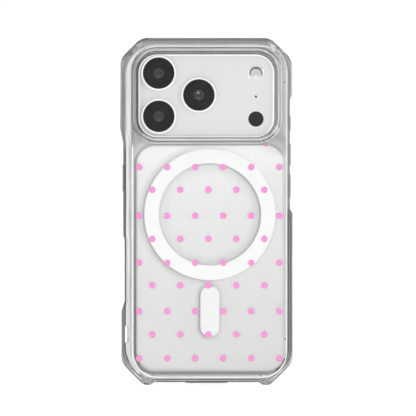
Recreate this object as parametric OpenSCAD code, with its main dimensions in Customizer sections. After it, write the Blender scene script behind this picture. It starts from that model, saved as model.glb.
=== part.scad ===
// Smartphone in a clear bumper case with a magnetic ring, an alignment bar and printed dots.
// It stands upright: +Z is up, the camera side faces -Y, the screen faces +Y, and the volume
// keys are on +X. The origin is at the middle of the box around it, at the height of the feet.

/* [Phone] */
// Width of the phone body
phone_w = 71.9; // [71:0.1:72.1]
// Height of the phone body
phone_h = 150; // [149:0.1:150.2]
// Thickness of the phone body without the camera plateau
phone_t = 8.75; // [8.5:0.05:9.5]
// Radius of the phone's four corners
phone_corner_r = 13.5; // [12.5:0.5:14]
// Radius of the rounding along the phone's front and back edges
phone_edge_r = 1.8; // [1:0.1:2.2]
// Height of the camera plateau above the phone's back
plateau_t = 2.4; // [2:0.1:2.8]
// Height of the lens rings above the plateau
lens_proud = 2.05; // [1.6:0.05:2.2]
// Outer diameter of a lens ring
lens_ring_d = 15.8; // [15:0.1:16]
// Diameter of the glass inside a lens ring
lens_glass_d = 14.2; // [13:0.1:14.4]

/* [Case] */
// Width across the widest bumpers
case_w = 78; // [77.8:0.1:80]
// Height from the feet to the top edge
case_h = 156.6; // [156:0.1:158]
// How far the front rim stands above the screen
front_rim = 1; // [0.6:0.1:1.4]
// How far the camera guard stands above the lens rings
guard_proud = 0.4; // [0.2:0.05:0.8]
// Thickness of the hard back plate
back_plate_t = 1.5; // [1.5:0.1:1.6]
// Length of the legs of the four cut corners
corner_cut = 10; // [9:0.5:10.5]
// Height of the two feet under the bottom edge
foot_h = 1.2; // [1:0.1:1.6]

/* [Back artwork] */
// How far the ring, the bar and the dots lie toward the volume keys
art_x = 1.6; // [0:0.1:1.8]
// Height of the ring's middle
ring_z = 76.9; // [74:0.1:77.5]
// Outer diameter of the white ring
ring_outer_d = 59.3; // [56:0.1:60]
// Inner diameter of the white ring
ring_inner_d = 46.1; // [44:0.1:48]
// Length of the alignment bar
bar_h = 22.5; // [18:0.5:23]
// Width of the alignment bar
bar_w = 8.6; // [6:0.1:9]
// Diameter of a printed dot
dot_d = 2.9; // [2:0.1:3.4]
// Distance from dot to dot along a row
dot_pitch = 12.63; // [12:0.01:12.8]

/* [Buttons] */
// Travel of a button when it is pressed
press = 0.25; // [0.1:0.05:0.3]
// Clearance around a moving button
button_gap = 0.1; // [0.05:0.01:0.12]

/* [Hidden] */
$fn = 64;

// Largest turn between two points of a rounded corner
arc_step = 9;
// How far a cutting shape runs past the surface that it cuts
past = 1;

// Layers from the guard at the back to the rim at the front
depth = phone_t + plateau_t + lens_proud + guard_proud + front_rim;
rim_y = depth / 2;
screen_y = rim_y - front_rim;
back_y = screen_y - phone_t;
plateau_y = back_y - plateau_t;
lens_y = plateau_y - lens_proud;
guard_y = -depth / 2;
mid_y = (screen_y + back_y) / 2;

// The phone rests just clear of the case
rest_gap = 0.05;
side_gap = 0.1;
phone_z = 3.6;
phone_mid_z = phone_z + phone_h / 2;
phone_top_z = phone_z + phone_h;
phone_x = phone_w / 2;
plate_in_y = back_y - rest_gap;
plate_out_y = plate_in_y - back_plate_t;
// The bumper stands this much proud of the back plate
bumper_proud = 0.3;
bumper_back_y = plate_out_y - bumper_proud;

// Half widths of the case, and how far each stretch of its sides steps in
half_w = case_w / 2;
volume_side_in = 1.3;
top_right_in = 0.3;
top_left_in = 0.2;
power_side_in = 1.4;
shutter_side_in = 2;
low_left_in = 0.6;

// Heights at which the sides step in and out, and half the height of a step
volume_low_z = 78.3;
volume_high_z = 129.5;
power_wide_z = 116;
power_slim_z = 109;
shutter_high_z = 66.5;
shutter_low_z = 35.5;
step_run = 1.1;
foot_in_x = 24.4;
foot_run = 1.1;
port_rim_run = 0.8;

// How much longer or shorter than corner_cut the legs of single corners are
low_right_more = 0.1;
low_left_less = 0.15;
top_right_less = 0.15;
top_left_less = 0.7;

// Roundings of the bumper: steps, feet, cut corners, back edge and front rim
soft = 1.5;
foot_soft = 3;
corner_soft = 7;
power_soft = 2;
port_soft = 0.4;
back_edge_r = 1.2;
rim_edge_r = 0.9;

// Slot for a lanyard, which leaves a bar outside it
lanyard_x = 36.7;
lanyard_z = 18.9;
lanyard_slot_w = 1.8;
lanyard_slot_h = 7.7;

// Round cushion pockets inside the corners
pocket_d = 2.4;
pocket_out = 0.5;
pocket_rim = 1.6;
pocket_angles = [27, 45, 63];

// Camera plateau and the guard around it
plateau_w = 61.6;
plateau_h = 37.7;
plateau_z = 130.4;
plateau_r = 8.5;
// Levels of the plateau's edge: [depth behind its face, how far it steps in]
plateau_flank = [[0, 0.5], [0.15, 0.15], [0.5, 0]];
guard_gap = 0.3;
guard_w = 67.9;
guard_h = 43.7;
guard_x = 0.15;
guard_z = 130.55;
guard_r = 11.5;
guard_seat = 0.1;
// Levels of the guard's flank: [part of its rise from the crest, how far it steps in]
guard_flank = [[0, 1.6], [0.15, 1.2], [0.45, 0.85], [0.8, 0.45], [1, 0]];

// Back plate and the frosted panel behind it
plate_w = 70.3;
plate_h = 150.2;
plate_x = 1.25;
plate_z = 78.2;
plate_r = 11.5;
panel_w = 66.7;
panel_h = 101.5;
panel_x = 1.75;
panel_z = 57.35;
panel_r = 8.5;
film_t = 0.2;
film_y = plate_in_y - film_t;
cover_t = 0.3;
cover_y = plate_out_y + cover_t;
magnet_y = cover_y + cover_t;
bar_z = 33.2;
bar_r = 4;
magnet_count = 18;
magnet_arc = 17;
magnet_inset = 0.8;

// Printed dots: the pattern repeats every four rows, and its rows of five stand off the middle
dot_t = 0.05;
dot_rows = 9;
dot_row_z = [0, 10.75, 21.2, 32.9];
dot_repeat_z = 43.1;
dot_low_z = 12;
dot_x = art_x - 0.35;
odd_row_shift = -0.42;
trimmed_dot = [26.8, 109];
trim_z = 108.3;

// Lenses and sensors on the plateau
lens_top = [-21.5, 140.5];
lens_low = [-21.45, 121.05];
lens_side = [-3.4, 130.65];
flash_at = [22.3, 140.4];
mic_at = [22.3, 130];
depth_at = [22.3, 119.9];
flash_d = 6.2;
flash_t = 0.7;
led_w = 2.6;
led_t = 0.7;
depth_d = 6.9;
depth_t = 1;
mic_d = 1;
mic_t = 1.2;
mic_mesh_t = 0.3;
lens_seat = 0.4;
lens_wall = 1;
lens_glass_t = 0.6;
lens_glass_in = 0.2;
barrel_y = back_y + 2.6;
// Steps of the funnel in a barrel: [diameter, depth]
funnel = [[11, 0.5], [8, 1.2]];
iris_d = 4.8;

// Plastic bands across the frame
band = 1.1;
side_band_in = 17;
end_band_x = 24.5;

// Inside of the phone
frame_wall = 1.6;
end_wall = 1.8;
cavity_x = phone_x - frame_wall;
cavity_front_y = screen_y - 1.85;
glass_t = 0.8;
glass_back_w = 64.5;
glass_back_h = 101.9;
glass_back_z = 57.35;
glass_back_r = 9;
glass_ledge = 2;
cavity_back_y = back_y + 1.55;
front_inset = 1.45;
front_glass_t = 0.7;
display_t = 1.1;
pill_w = 5.9;
pill_len = 19.7;
pill_gap = 0.2;
pill_down = 9;
pill_t = 4.4;
earpiece_w = 10.4;
earpiece_h = 0.5;
earpiece_in = 0.4;
earpiece_recess = 0.1;
coil_y = back_y + glass_t + rest_gap;
coil_t = 0.6;
coil_outer_d = 42;
coil_inner_d = 20;
phone_ring_outer_d = 54;
phone_ring_inner_d = 46;
inside_gap = 0.1;
inside_y = cavity_back_y + inside_gap;
battery_at = [-26, inside_y, 16.6];
battery_size = [54, 4.2, 76];
speaker_at = [10, inside_y, 6.2];
speaker_size = [15, 4.2, 9];
motor_at = [-26.5, inside_y, 6.8];
motor_size = [17, 3.6, 6];
board_at = [-30, barrel_y + 0.6, 96];
board_size = [60, 1.6, 38];

// Buttons: [side, height of the middle, length of the button, length of its cover]
power_key = [-1, 93.3, 11, 13.4];
shortcut_key = [1, 118.15, 5.6, 7.3];
volume_up_key = [1, 103.95, 8.6, 10.3];
volume_down_key = [1, 89.55, 9.4, 11.3];
shutter_key = [-1, 54.5, 17];
KEYS = [power_key, shortcut_key, volume_up_key, volume_down_key];
key_w = 3.2;
key_proud = 0.4;
key_depth = 1;
plunger_r = 0.6;
plunger_in = 0.9;
shutter_w = 3;
shutter_flush = 0.05;
shutter_gap_w = 5.2;
shutter_gap_h = 21;
shutter_sill = 0.5;
cover_w = 4.6;
cover_gap = 0.15;
volume_cover_proud = 0.6;
power_cover_proud = 0.4;
key_to_cover = 0.1;
cover_step = 0.3;
cover_step_in = 0.4;
key_step = 0.15;
dome_r = 1.2;
dome_h = 0.5;
switch_t = 0.4;
switch_w = 3;

// Bottom edge
port_w = 18;
port_d = 6.6;
port_rim = 0.5;
slot_in_x = 11.4;
slot_out_x = 22.6;
slot_d = 2.6;
hole_count = 5;
hole_pitch = 2.3;
hole_first_x = 12.4;
hole_d = 1.5;
screw_x = 7.4;
screw_d = 1.5;
screw_gap = 0.05;
screw_head_t = 0.5;
screw_hole_d = 1;
screw_shank_d = 0.9;
screw_len = 2.6;
socket_depth = 0.3;
socket_d = 0.5;
socket_lobe_d = 0.32;
socket_lobe_at = 0.22;
usb_w = 8.94;
usb_h = 3.16;
usb_wall = 0.3;
usb_len = 6.6;
usb_in = 0.1;
usb_back = 0.6;
tongue_w = 6.7;
tongue_t = 0.7;
tongue_in = 1;
mesh_w = 2.4;
mesh_t = 0.3;
mesh_gap = 0.25;

// ---------- shapes that repeat ----------

function flat(p) = [p.x, p.y];
function unit(v) = v / norm(v);
function turned(v, a) = [v.x * cos(a) - v.y * sin(a), v.x * sin(a) + v.y * cos(a)];

// One rounded corner at p between its neighbours a and b, as [point, outward direction] pairs
function corner_arc(a, p, b, r) =
    let (u = unit(a - p))
    let (v = unit(b - p))
    let (half = acos(u * v) / 2)
    let (centre = p + unit(u + v) * r / sin(half))
    let (first = p + u * r / tan(half) - centre)
    let (bend = (u.x * v.y - u.y * v.x < 0) ? 1 : -1)
    let (turn = bend * (180 - 2 * half))
    let (steps = max(2, ceil(abs(turn) / arc_step)))
    [
        for (i = [0:steps])
        let (spoke = turned(first, turn * i / steps))
        [centre + spoke, unit(spoke) * bend]
    ];

// A closed outline from corners [x, z, radius], listed anticlockwise
function outline(corners) =
    let (n = len(corners))
    [
        for (i = [0:n - 1])
        let (a = flat(corners[(i + n - 1) % n]))
        let (b = flat(corners[(i + 1) % n]))
        each corner_arc(a, flat(corners[i]), b, corners[i][2])
    ];

// A rounded rectangle of width w and height h with its middle at [x, z]
function box_outline(w, h, r, x, z) = outline([
    [x + w / 2, z - h / 2, r],
    [x + w / 2, z + h / 2, r],
    [x - w / 2, z + h / 2, r],
    [x - w / 2, z - h / 2, r]
]);

// The outline moved inward by d
function inset(path, d) = [for (p = path) p[0] - d * p[1]];

// Edge levels [y, inset] of a slab from y0 to y1 whose two edges are rounded with radii r0 and r1
function round_levels(y0, y1, r0, r1) = concat(
    [for (a = [90:-22.5:0]) [y0 + r0 * (1 - sin(a)), r0 * (1 - cos(a))]],
    [for (a = [0:22.5:90]) [y1 - r1 * (1 - sin(a)), r1 * (1 - cos(a))]]
);

// A solid through the outline at each level [y, inset], closed with a fan at both ends
module loft(path, levels, middle) {
    n = len(path);
    last = len(levels) - 1;
    rings = [
        for (l = levels)
        for (p = inset(path, l[1]))
        [p.x, l[0], p.y]
    ];
    centres = [[middle.x, levels[0][0], middle.y], [middle.x, levels[last][0], middle.y]];
    sides = [
        for (k = [0:last - 1])
        for (i = [0:n - 1])
        [k * n + i, k * n + (i + 1) % n, (k + 1) * n + (i + 1) % n, (k + 1) * n + i]
    ];
    back = [for (i = [0:n - 1]) [n * len(levels), (i + 1) % n, i]];
    front = [for (i = [0:n - 1]) [n * len(levels) + 1, last * n + i, last * n + (i + 1) % n]];
    polyhedron(concat(rings, centres), concat(sides, back, front));
}

// A flat outline in the X-Z plane, given a thickness from y0 to y1
module plate(y0, y1) {
    translate([0, y1, 0])
        rotate([90, 0, 0])
            linear_extrude(y1 - y0)
                children();
}

// A flat outline in the Y-Z plane, given a thickness from x0 to x1
module side_plate(x0, x1) {
    translate([min(x0, x1), 0, 0])
        rotate([90, 0, 90])
            linear_extrude(abs(x1 - x0))
                children();
}

module shape(path) {
    polygon(inset(path, 0));
}

// A disc that faces along Y, with its middle at the point [x, z]
module disc(at, d, y0, y1) {
    translate([at.x, y1, at.y])
        rotate([90, 0, 0])
            cylinder(h = y1 - y0, d = d);
}

module tube(at, outer_d, inner_d, y0, y1) {
    difference() {
        disc(at, outer_d, y0, y1);
        disc(at, inner_d, y0 - past, y1 + past);
    }
}

// A pill with its length along the second axis
module stadium(w, h) {
    square([w, h - w], center = true);
    for (s = [-1, 1])
        translate([0, s * (h - w) / 2])
            circle(d = w);
}

// A pill-shaped block on a side of the phone, at height z, from x0 to x1
module side_pill(x0, x1, z, w, h) {
    side_plate(x0, x1)
        translate([mid_y, z])
            stadium(w, h);
}

// ---------- case ----------

module case_outline_solid() {
    top = case_h;
    right_cut = corner_cut - top_right_less;
    left_cut = corner_cut - top_left_less;
    low_right_cut = corner_cut + low_right_more;
    low_left_cut = corner_cut - low_left_less;
    right_top = half_w - top_right_in;
    right_slim = half_w - volume_side_in;
    left_top = half_w - top_left_in;
    left_slim = half_w - power_side_in;
    left_shutter = half_w - shutter_side_in;
    left_low = half_w - low_left_in;
    path = outline([
        [port_w / 2, foot_h - port_rim, soft],
        [port_w / 2 + port_rim_run, foot_h, port_soft],
        [foot_in_x - foot_run, foot_h, foot_run],
        [foot_in_x + foot_run, 0, soft],
        [half_w - low_right_cut, 0, foot_soft],
        [half_w, low_right_cut, corner_soft],
        [half_w, volume_low_z - step_run, soft],
        [right_slim, volume_low_z + step_run, soft],
        [right_slim, volume_high_z - step_run, soft],
        [right_top, volume_high_z + step_run, soft],
        [right_top, top - right_cut, corner_soft],
        [right_top - right_cut, top, corner_soft],
        [-left_top + left_cut, top, corner_soft],
        [-left_top, top - left_cut, corner_soft],
        [-half_w, power_wide_z, power_soft],
        [-left_slim, power_slim_z, power_soft],
        [-left_slim, shutter_high_z + step_run, soft],
        [-left_shutter, shutter_high_z - step_run, soft],
        [-left_shutter, shutter_low_z + 2 * step_run, soft],
        [-left_low, shutter_low_z - 2 * step_run, soft],
        [-left_low, low_left_cut, corner_soft],
        [-left_low + low_left_cut, 0, foot_soft],
        [-foot_in_x - foot_run, 0, soft],
        [-foot_in_x + foot_run, foot_h, foot_run],
        [-port_w / 2 - port_rim_run, foot_h, port_soft],
        [-port_w / 2, foot_h - port_rim, soft]
    ]);
    loft(path, round_levels(bumper_back_y, rim_y, back_edge_r, rim_edge_r), [0, case_h / 2]);
}

// The pocket that the phone sits in, open toward the screen side
module phone_pocket() {
    plate(plate_in_y, rim_y + past)
        shape(box_outline(
            phone_w + 2 * side_gap, phone_h + 2 * side_gap, phone_corner_r, 0, phone_mid_z
        ));
}

module plate_outline() {
    shape(box_outline(plate_w, plate_h, plate_r, plate_x, plate_z));
}

// Window for one button cover, with a relief channel that lets the button slide out forward
module key_window(key) {
    outer = key[0] * (half_w + past);
    inner = key[0] * (phone_x - past);
    side_pill(inner, outer, key[1], cover_w + 2 * cover_gap, key[3] + 2 * cover_gap);
    relief = phone_x + key_proud + key_to_cover;
    reach = rim_y + past - mid_y;
    side_plate(inner, key[0] * relief)
        translate([mid_y + reach / 2, key[1]])
            square([reach, key[2] + 4 * button_gap], center = true);
}

// Opening over the shutter button, wider on the outside for a fingertip
module shutter_window() {
    outer = -half_w - past;
    z = shutter_key[1];
    side_pill(-phone_x + past, outer, z, shutter_gap_w, shutter_gap_h);
    side_pill(
        -phone_x - shutter_sill, outer, z,
        shutter_gap_w + 2 * shutter_sill, shutter_gap_h + 4 * shutter_sill
    );
}

// Slot behind the lanyard bar, running through from the back to the front
module lanyard_slot() {
    translate([-lanyard_x, bumper_back_y - past, lanyard_z])
        cube([lanyard_slot_w, rim_y - bumper_back_y + 2 * past, lanyard_slot_h]);
}

// Port cut-out and the two slots for sound, through the bottom wall
module bottom_openings() {
    translate([0, mid_y, -past])
        linear_extrude(phone_z + 2 * past)
            rotate(90)
                stadium(port_d, port_w);
    for (s = [-1, 1])
        translate([s * (slot_in_x + slot_out_x) / 2, mid_y, -past])
            linear_extrude(phone_z + 2 * past)
                rotate(90)
                    stadium(slot_d, slot_out_x - slot_in_x);
}

// Cushion pockets on the inside of each corner
module corner_pockets() {
    swing = phone_corner_r + pocket_out;
    for (sx = [-1, 1], sz = [-1, 1], a = pocket_angles)
        disc(
            [
                sx * (phone_x - phone_corner_r + swing * cos(a)),
                phone_mid_z + sz * (phone_h / 2 - phone_corner_r + swing * sin(a))
            ],
            pocket_d, plate_in_y, rim_y - pocket_rim
        );
}

module case_bumper() {
    color("gainsboro", 0.5)
        difference() {
            case_outline_solid();
            phone_pocket();
            plate(bumper_back_y - past, plate_in_y + rest_gap)
                plate_outline();
            for (key = KEYS)
                key_window(key);
            shutter_window();
            lanyard_slot();
            bottom_openings();
            corner_pockets();
        }
}

module ring_band(outer_d, inner_d, y0, y1) {
    tube([art_x, ring_z], outer_d, inner_d, y0, y1);
}

module bar_band(w, h, y0, y1) {
    plate(y0, y1)
        shape(box_outline(w, h, min(bar_r, w / 2 - 0.1), art_x, bar_z));
}

module case_back_plate() {
    color("whitesmoke", 0.5)
        difference() {
            plate(plate_out_y, plate_in_y)
                plate_outline();
            plate(plate_out_y - past, plate_in_y + past)
                guard_opening();
            plate(film_y, plate_in_y + past)
                shape(box_outline(panel_w, panel_h, panel_r, panel_x, panel_z));
            ring_band(ring_outer_d, ring_inner_d, cover_y, film_y);
            bar_band(bar_w, bar_h, cover_y, film_y);
            plate(plate_out_y - past, plate_out_y + guard_seat)
                guard_outline();
            plate(plate_out_y - past, plate_out_y + dot_t)
                dot_pattern();
        }
}

module guard_outline() {
    shape(box_outline(guard_w, guard_h, guard_r, guard_x, guard_z));
}

module guard_opening() {
    shape(box_outline(
        plateau_w + 2 * guard_gap, plateau_h + 2 * guard_gap, plateau_r + guard_gap, 0, plateau_z
    ));
}

// Raised guard around the cameras, let into the plate: its outer flank leans in to a crest
module camera_guard() {
    rise = plate_out_y - guard_y;
    flank = [for (l = guard_flank) [guard_y + l[0] * rise, l[1]]];
    color("silver", 0.6)
        difference() {
            loft(
                box_outline(guard_w, guard_h, guard_r, guard_x, guard_z),
                concat(flank, [[plate_out_y + guard_seat, 0]]),
                [guard_x, guard_z]
            );
            plate(guard_y - past, plate_out_y + past)
                guard_opening();
        }
}

module frosted_panel() {
    color("gainsboro")
        plate(film_y, plate_in_y)
            shape(box_outline(panel_w, panel_h, panel_r, panel_x, panel_z));
}

module magnet_ring_cover() {
    color("white")
        ring_band(ring_outer_d, ring_inner_d, cover_y, magnet_y);
}

// A ring of short curved magnets with small gaps between them
module magnet_segments(at, outer_d, inner_d, count, arc, y0, y1) {
    translate([at.x, y1, at.y])
        rotate([90, 0, 0])
            for (i = [0:count - 1])
                rotate(i * 360 / count)
                    rotate_extrude(angle = arc)
                        translate([inner_d / 2, 0])
                            square([(outer_d - inner_d) / 2, y1 - y0]);
}

module case_magnets() {
    color("dimgray")
        magnet_segments(
            [art_x, ring_z], ring_outer_d - 2 * magnet_inset, ring_inner_d + 2 * magnet_inset,
            magnet_count, magnet_arc, magnet_y, film_y
        );
}

module alignment_bar() {
    color("white")
        bar_band(bar_w, bar_h, cover_y, magnet_y);
}

module alignment_magnet() {
    color("dimgray")
        bar_band(bar_w - 2 * magnet_inset, bar_h - 2 * magnet_inset, magnet_y, film_y);
}

// Rows of six and five dots in turn, and the edge of one more under the camera guard
module dot_pattern() {
    for (row = [0:dot_rows - 1]) {
        count = 6 - row % 2;
        first = dot_x + (row % 2) * odd_row_shift - (count - 1) / 2 * dot_pitch;
        z = dot_low_z + floor(row / 4) * dot_repeat_z + dot_row_z[row % 4];
        for (i = [0:count - 1])
            translate([first + i * dot_pitch, z])
                circle(d = dot_d);
    }
    intersection() {
        translate(trimmed_dot)
            circle(d = dot_d);
        translate([trimmed_dot.x - dot_d, trim_z - dot_d])
            square([2 * dot_d, dot_d]);
    }
}

// The dots lie flush in the plate's outer face
module printed_dots() {
    color("hotpink")
        plate(plate_out_y, plate_out_y + dot_t)
            dot_pattern();
}

// Soft cover over one side button, lying in its window in the bumper wall
module key_cover(key) {
    face = (key[0] > 0)
        ? half_w - volume_side_in + volume_cover_proud
        : half_w - power_side_in + power_cover_proud;
    inner = phone_x + key_proud + key_to_cover;
    color("silver", 0.6) {
        side_pill(key[0] * inner, key[0] * (face - cover_step), key[1], cover_w, key[3]);
        side_pill(
            key[0] * (face - cover_step), key[0] * face, key[1],
            cover_w - 2 * cover_step_in, key[3] - 2 * cover_step_in
        );
    }
}

// ---------- phone ----------

module body_solid() {
    loft(
        box_outline(phone_w, phone_h, phone_corner_r, 0, phone_mid_z),
        round_levels(back_y, screen_y, phone_edge_r, phone_edge_r),
        [0, phone_mid_z]
    );
    flank = [for (l = plateau_flank) [plateau_y + l[0], l[1]]];
    loft(
        box_outline(plateau_w, plateau_h, plateau_r, 0, plateau_z),
        concat(flank, [[back_y + frame_wall / 2, 0]]),
        [0, plateau_z]
    );
}

// Bands that cross the metal frame near its corners
module antenna_slots() {
    for (s = [-1, 1], z = [phone_z + side_band_in, phone_top_z - side_band_in])
        translate([s * phone_x - 1, back_y - past, z - band / 2])
            cube([2, phone_t + 2 * past, band]);
    for (z = [phone_z, phone_top_z], s = [-1, 1])
        translate([s * end_band_x - band / 2, back_y - past, z - 1])
            cube([band, phone_t + 2 * past, 2]);
}

module key_slot(key, w, h) {
    side_pill(
        key[0] * (cavity_x - past), key[0] * (phone_x + past), key[1],
        w + 2 * button_gap, h + 2 * button_gap
    );
}

module phone_body() {
    color("silver")
        difference() {
            body_solid();
            plate(screen_y - front_glass_t - display_t, screen_y + past)
                front_outline();
            plate(cavity_back_y, cavity_front_y + past)
                cavity_outline();
            plate(back_y - past, back_y + glass_t)
                back_glass_outline();
            plate(back_y, cavity_back_y + past)
                shape(box_outline(
                    glass_back_w - 2 * glass_ledge, glass_back_h - 2 * glass_ledge,
                    glass_back_r - glass_ledge, 0, glass_back_z
                ));
            for (at = [lens_top, lens_low, lens_side]) {
                disc(at, lens_ring_d, plateau_y - past, plateau_y + lens_seat);
                disc(at, lens_ring_d - 2 * lens_wall, plateau_y, barrel_y + past);
            }
            disc(flash_at, flash_d, plateau_y - past, plateau_y + flash_t + led_t);
            disc(depth_at, depth_d, plateau_y - past, plateau_y + depth_t);
            disc(mic_at, mic_d, plateau_y - past, plateau_y + mic_t);
            antenna_slots();
            for (key = KEYS)
                key_slot(key, key_w, key[2]);
            key_slot(shutter_key, shutter_w, shutter_key[2]);
            bottom_holes();
            earpiece_slot();
        }
}

module front_outline() {
    shape(box_outline(
        phone_w - 2 * front_inset, phone_h - 2 * front_inset,
        phone_corner_r - front_inset, 0, phone_mid_z
    ));
}

module cavity_outline() {
    shape(box_outline(
        2 * cavity_x, phone_h - 2 * end_wall, phone_corner_r - frame_wall, 0, phone_mid_z
    ));
}

module back_glass_outline() {
    shape(box_outline(glass_back_w, glass_back_h, glass_back_r, 0, glass_back_z));
}

// Holes in the bottom edge for the port, the screws, the loudspeaker and the microphone
module bottom_holes() {
    translate([0, mid_y, phone_z - past])
        linear_extrude(frame_wall + 2 * past)
            rotate(90)
                stadium(usb_h, usb_w);
    for (s = [-1, 1]) {
        screw_hole(s * screw_x);
        for (i = [0:hole_count - 1])
            translate([s * (hole_first_x + i * hole_pitch), mid_y, phone_z - past])
                cylinder(h = frame_wall + 2 * past, d = hole_d);
    }
}

module screw_hole(x) {
    translate([x, mid_y, phone_z - past])
        cylinder(h = past + screw_head_t, d = screw_d + 2 * screw_gap);
    translate([x, mid_y, phone_z])
        cylinder(h = frame_wall + past, d = screw_hole_d);
}

module earpiece_slot() {
    translate([-earpiece_w / 2, screen_y - earpiece_in, phone_top_z - front_inset])
        cube([earpiece_w, earpiece_in + past, earpiece_h]);
}

module back_glass() {
    color("lightgray")
        plate(back_y, back_y + glass_t)
            back_glass_outline();
}

module front_glass() {
    color("black", 0.6)
        plate(screen_y - front_glass_t, screen_y)
            front_outline();
}

module display_panel() {
    color("black")
        difference() {
            plate(screen_y - front_glass_t - display_t, screen_y - front_glass_t)
                front_outline();
            plate(screen_y - front_glass_t - display_t - past, screen_y)
                translate([0, phone_top_z - pill_down])
                    rotate(90)
                        stadium(pill_w, pill_len);
        }
}

// Face camera and its sensors, in the pill-shaped hole of the display
module front_camera() {
    color("midnightblue") {
        plate(screen_y - pill_t, screen_y - front_glass_t)
            translate([0, phone_top_z - pill_down])
                rotate(90)
                    stadium(pill_w - 2 * pill_gap, pill_len - 2 * pill_gap);
    }
}

module earpiece_mesh() {
    color("dimgray")
        translate([-earpiece_w / 2, screen_y - earpiece_in, phone_top_z - front_inset])
            cube([earpiece_w, earpiece_in - earpiece_recess, earpiece_h]);
}

module lens_ring(at) {
    color("white")
        tube(at, lens_ring_d, lens_glass_d, lens_y, plateau_y + lens_seat);
}

module lens_glass(at) {
    color("black", 0.7)
        disc(at, lens_glass_d, lens_y + lens_glass_in, lens_y + lens_glass_in + lens_glass_t);
}

// Camera barrel behind the glass, with a stepped funnel down to the iris
module lens_barrel(at) {
    front = lens_y + lens_glass_in + lens_glass_t;
    seat = plateau_y + lens_seat;
    narrow = lens_ring_d - 2 * lens_wall;
    color("black")
        difference() {
            disc(at, min(lens_glass_d, narrow), front, barrel_y);
            for (step = funnel)
                disc(at, step[0], front - past, front + step[1]);
            disc(at, iris_d, front, seat + past);
        }
}

module flash_lens() {
    color("lightgray", 0.8)
        disc(flash_at, flash_d, plateau_y, plateau_y + flash_t);
}

module flash_led() {
    color("khaki")
        translate([flash_at.x - led_w / 2, plateau_y + flash_t, flash_at.y - led_w / 2])
            cube([led_w, led_t, led_w]);
}

module depth_window() {
    color("black")
        disc(depth_at, depth_d, plateau_y, plateau_y + depth_t);
}

module rear_mic_mesh() {
    color("black")
        disc(mic_at, mic_d, plateau_y + mic_mesh_t, plateau_y + 2 * mic_mesh_t);
}

module key_button(key) {
    outer = phone_x + key_proud;
    inner = outer - key_proud - key_depth;
    color("lightgray") {
        side_pill(key[0] * inner, key[0] * (outer - key_step), key[1], key_w, key[2]);
        side_pill(
            key[0] * (outer - key_step), key[0] * outer, key[1],
            key_w - 2 * key_step, key[2] - 2 * key_step
        );
        for (s = [-1, 1])
            plunger(key[0], key[1] + s * key[2] / 4, inner);
    }
}

// A round pin on the inner side of a button, which presses the switch behind it
module plunger(side, z, from_x) {
    tip = from_x - plunger_in;
    translate([min(side * tip, side * from_x), mid_y, z])
        rotate([0, 90, 0])
            cylinder(h = plunger_in, r = plunger_r);
}

module shutter_button() {
    outer = phone_x - shutter_flush;
    color("lightgray") {
        side_pill(-outer, -(outer - key_depth), shutter_key[1], shutter_w, shutter_key[2]);
        for (s = [-1, 1])
            plunger(-1, shutter_key[1] + s * shutter_key[2] / 4, outer - key_depth);
    }
}

// Switch strips behind the buttons, with one small dome in front of each plunger
module button_switches() {
    color("goldenrod")
        for (key = concat(KEYS, [shutter_key])) {
            tip = (len(key) > 3 ? phone_x - key_depth : phone_x - shutter_flush - key_depth)
                - plunger_in - press - rest_gap;
            strip = tip - dome_h;
            translate([
                min(key[0] * strip, key[0] * (strip - switch_t)), mid_y - switch_w / 2,
                key[1] - key[2] / 2
            ])
                cube([switch_t, switch_w, key[2]]);
            for (s = [-1, 1])
                translate([
                    min(key[0] * strip, key[0] * tip), mid_y, key[1] + s * key[2] / 4
                ])
                    rotate([0, 90, 0])
                        cylinder(
                            h = dome_h,
                            r1 = key[0] > 0 ? dome_r : dome_r / 2,
                            r2 = key[0] > 0 ? dome_r / 2 : dome_r
                        );
        }
}

module antenna_bands() {
    color("gainsboro")
        intersection() {
            difference() {
                body_solid();
                plate(back_y - past, screen_y + past)
                    cavity_outline();
                plate(screen_y - front_glass_t - display_t, screen_y + past)
                    front_outline();
            }
            antenna_slots();
        }
}

module usb_shell() {
    color("silver")
        difference() {
            translate([0, mid_y, phone_z + usb_in])
                linear_extrude(usb_len)
                    rotate(90)
                        stadium(usb_h, usb_w);
            translate([0, mid_y, phone_z + usb_in - past])
                linear_extrude(usb_len - usb_back + past)
                    rotate(90)
                        stadium(usb_h - 2 * usb_wall, usb_w - 2 * usb_wall);
        }
}

module usb_tongue() {
    color("black")
        translate([-tongue_w / 2, mid_y - tongue_t / 2, phone_z + tongue_in])
            cube([tongue_w, tongue_t, usb_len - tongue_in - usb_back]);
}

// Two small screws with recessed five-pointed heads
module bottom_screws() {
    color("silver")
        for (s = [-1, 1])
            translate([s * screw_x, mid_y, phone_z])
                difference() {
                    union() {
                        cylinder(h = screw_head_t, d = screw_d);
                        cylinder(h = screw_len, d = screw_shank_d);
                    }
                    for (a = [0:72:288])
                        rotate(a)
                            translate([socket_lobe_at, 0, -past])
                                cylinder(h = past + socket_depth, d = socket_lobe_d);
                    translate([0, 0, -past])
                        cylinder(h = past + socket_depth, d = socket_d);
                }
}

module speaker_mesh() {
    mesh_len = hole_count * hole_pitch;
    mesh_x = hole_first_x + (hole_count - 1) * hole_pitch / 2;
    color("dimgray")
        for (s = [-1, 1])
            translate([
                s * mesh_x - mesh_len / 2, mid_y - mesh_w / 2, phone_z + frame_wall + mesh_gap
            ])
                cube([mesh_len, mesh_w, mesh_t]);
}

module block(at, size) {
    translate(at)
        cube(size);
}

module speaker_box() {
    color("darkslategray")
        block(speaker_at, speaker_size);
}

module haptic_motor() {
    color("slategray")
        block(motor_at, motor_size);
}

module battery() {
    color("dimgray")
        block(battery_at, battery_size);
}

module logic_board() {
    color("seagreen")
        block(board_at, board_size);
}

module charging_coil() {
    color("peru")
        tube([0, ring_z], coil_outer_d, coil_inner_d, coil_y, coil_y + coil_t);
}

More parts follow.
